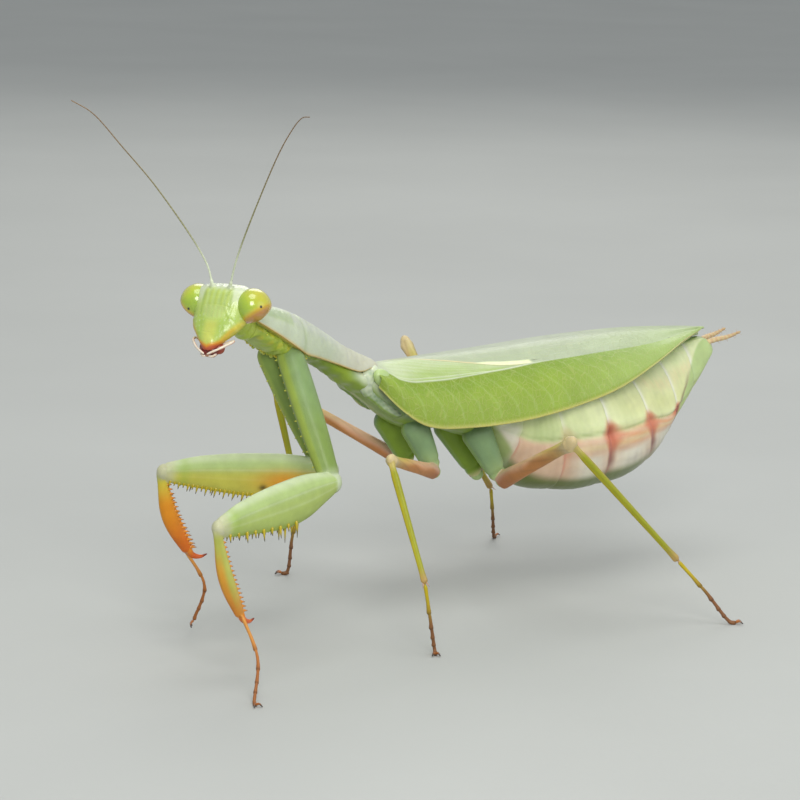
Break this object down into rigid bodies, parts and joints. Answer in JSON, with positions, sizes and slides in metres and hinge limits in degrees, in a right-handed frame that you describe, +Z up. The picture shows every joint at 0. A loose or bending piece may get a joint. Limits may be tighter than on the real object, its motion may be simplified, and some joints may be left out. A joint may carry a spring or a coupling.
{
  "type": "praying mantis",
  "caption": "Still life-size praying mantis, head raised and turned, raptorial forelegs held out and folded wings over a full abdomen, standing on small flats under its feet.",
  "frame": {"origin": "on the floor, under the middle of the whole animal", "axes": "-X towards the front of the body, -Y towards the animal's left, +Z up"},
  "size_m": [0.087, 0.047, 0.0552],
  "materials": {
    "cuticle_green": "smooth leaf-green cuticle, lightly waxy, yellower towards the underside",
    "cuticle_pale": "smooth pale grey-green cuticle with cream edges",
    "abdomen_skin": "stretched glossy pale yellow-green plates with a pink band along each side",
    "eye": "glossy yellow-green compound eye with an orange-brown lower rim",
    "mouth_red": "glossy dark red jaws with pink palps",
    "feeler_brown": "fine ringed brown feeler, green at its root",
    "cercus_tan": "jointed tan-pink cercus with a fine down",
    "forewing_green": "leathery leaf-green wing with raised veins and a cream mark",
    "hindwing_pale": "thin pale folded wing",
    "femur_pink": "smooth pink-tan cuticle shading to orange",
    "tibia_orange": "smooth orange and yellow-green cuticle with dark-tipped teeth",
    "tibia_olive": "smooth yellow-olive cuticle",
    "tarsus_brown": "fine orange-brown jointed foot"
  },
  "bodies": {
    "root": {"head": "cuticle_green", "mouthparts": "mouth_red", "eye_left": "eye", "eye_right": "eye", "antenna_left": "feeler_brown", "antenna_right": "feeler_brown", "neck": "cuticle_green", "pronotum": "cuticle_pale", "prosternum": "cuticle_green", "mesothorax": "cuticle_green", "metathorax": "cuticle_green", "abdomen_1": "abdomen_skin", "abdomen_2": "abdomen_skin", "abdomen_3": "abdomen_skin", "abdomen_4": "abdomen_skin", "abdomen_5": "abdomen_skin", "abdomen_6": "abdomen_skin", "abdomen_7": "abdomen_skin", "cercus_left": "cercus_tan", "cercus_right": "cercus_tan", "forewing_left": "forewing_green", "forewing_right": "forewing_green", "hindwing_left": "hindwing_pale", "hindwing_right": "hindwing_pale", "coxa_fore_left": "cuticle_green", "femur_fore_left": "cuticle_pale", "tibia_fore_left": "tibia_orange", "tarsus_fore_left": "tarsus_brown", "coxa_fore_right": "cuticle_green", "femur_fore_right": "cuticle_pale", "tibia_fore_right": "tibia_orange", "tarsus_fore_right": "tarsus_brown", "coxa_mid_left": "cuticle_green", "femur_mid_left": "femur_pink", "tibia_mid_left": "tibia_olive", "tarsus_mid_left": "tarsus_brown", "coxa_mid_right": "cuticle_green", "femur_mid_right": "femur_pink", "tibia_mid_right": "tibia_olive", "tarsus_mid_right": "tarsus_brown", "coxa_hind_left": "cuticle_green", "femur_hind_left": "femur_pink", "tibia_hind_left": "tibia_olive", "tarsus_hind_left": "tarsus_brown", "coxa_hind_right": "cuticle_green", "femur_hind_right": "femur_pink", "tibia_hind_right": "tibia_olive", "tarsus_hind_right": "tarsus_brown"}
  },
  "joints": []
}
